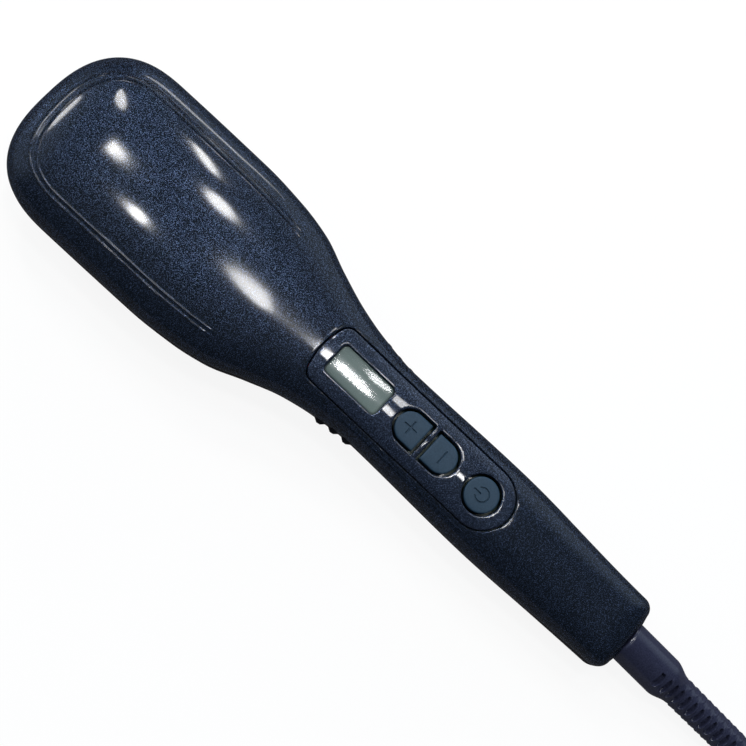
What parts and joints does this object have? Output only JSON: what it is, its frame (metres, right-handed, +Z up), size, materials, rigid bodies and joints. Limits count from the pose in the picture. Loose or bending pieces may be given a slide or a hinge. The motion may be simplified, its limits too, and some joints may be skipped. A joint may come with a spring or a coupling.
{
  "type": "heated styling brush",
  "caption": "Paddle-headed heated styling brush with rows of stiff teeth, a display and push buttons in the handle, and a mains cord on a swivel with a ribbed strain relief.",
  "frame": {"origin": "on the surface that the brush lies on, under the middle of the brush with its strain relief (cord, coil and plug left out)", "axes": "+X along the brush from the head towards the cord, +Z up out of the control side, teeth towards -Z"},
  "size_m": [0.5106, 0.1034, 0.0399],
  "materials": {
    "pearl_gloss": "near-black navy gloss with a fine silver-blue pearl",
    "black_gloss": "black gloss",
    "clear_lens": "clear acrylic, gloss",
    "display": "grey-green display",
    "white_plastic": "plain",
    "key_grey": "matte slate grey",
    "switch_black": "plain black",
    "board_green": "solder mask",
    "steel": "plain",
    "coated_plate": "ceramic-coated, dark satin",
    "ceramic": "fired ceramic",
    "mica": "mica sheet",
    "wire_red": "silicone insulation",
    "black_rubber": "matte black",
    "brass": "plain",
    "nickel": "nickel-plated brass",
    "tooth_black": "satin black"
  },
  "bodies": {
    "housing": {"back_cover": "pearl_gloss", "control_panel": "pearl_gloss", "head_frame": "black_gloss", "grip_shell": "black_gloss", "display_lens": "clear_lens", "display_glass": "display", "display_backlight": "white_plastic", "plus_switch": "switch_black", "minus_switch": "switch_black", "power_switch": "switch_black", "circuit_board": "board_green", "power_triac": "switch_black", "filter_capacitor": "steel", "heater_connector": "white_plastic", "heating_plate": "coated_plate", "heater_element_1": "ceramic", "heater_element_2": "ceramic", "clamp_plate": "steel", "insulation_sheet": "mica", "heat_shield": "steel", "thermal_fuse": "steel", "temperature_sensor": "ceramic", "heater_lead_1": "wire_red", "heater_lead_2": "wire_red", "swivel_bush_upper": "white_plastic", "swivel_bush_lower": "white_plastic", "contact_block": "white_plastic", "contact_blade_1": "brass", "contact_blade_2": "brass", "cord_lead": "black_rubber", "cord_coil": "black_rubber", "cord_tail": "black_rubber", "plug_body": "black_rubber", "plug_pin_1": "nickel", "plug_pin_2": "nickel", "tooth_row_1": "tooth_black", "tooth_row_2": "tooth_black", "tooth_row_3": "tooth_black", "tooth_row_4": "tooth_black", "tooth_row_5": "tooth_black", "tooth_row_6": "tooth_black", "tooth_row_7": "tooth_black", "tooth_row_8": "tooth_black", "tooth_row_9": "tooth_black", "tooth_row_10": "tooth_black", "head_screw_1": "steel", "head_screw_2": "steel", "head_screw_3": "steel", "head_screw_4": "steel", "handle_screw_1": "steel", "handle_screw_2": "steel"},
    "plus_key": {"plus_button": "key_grey", "plus_switch_plunger": "white_plastic"},
    "minus_key": {"minus_button": "key_grey", "minus_switch_plunger": "white_plastic"},
    "power_key": {"power_button": "key_grey", "power_switch_plunger": "white_plastic"},
    "swivel": {"swivel_boot": "black_rubber", "slip_ring_1": "brass", "slip_ring_2": "brass"}
  },
  "joints": [
    {"name": "plus_press", "type": "slide", "parent": "housing", "child": "plus_key", "axis": [-0.0474, 0, -0.9989], "range_m": [0, 0.0008], "stiffness_N_per_m": 1500, "springref_m": -0.0004},
    {"name": "minus_press", "type": "slide", "parent": "housing", "child": "minus_key", "axis": [-0.0474, 0, -0.9989], "range_m": [0, 0.0008], "stiffness_N_per_m": 1500, "springref_m": -0.0004},
    {"name": "power_press", "type": "slide", "parent": "housing", "child": "power_key", "axis": [-0.0474, 0, -0.9989], "range_m": [0, 0.0008], "stiffness_N_per_m": 1500, "springref_m": -0.0004},
    {"name": "cord_swivel", "type": "hinge", "parent": "housing", "child": "swivel", "pos_m": [0.11256, 0, 0.0172], "axis": [0.9848, 0, -0.1736], "continuous": true}
  ]
}
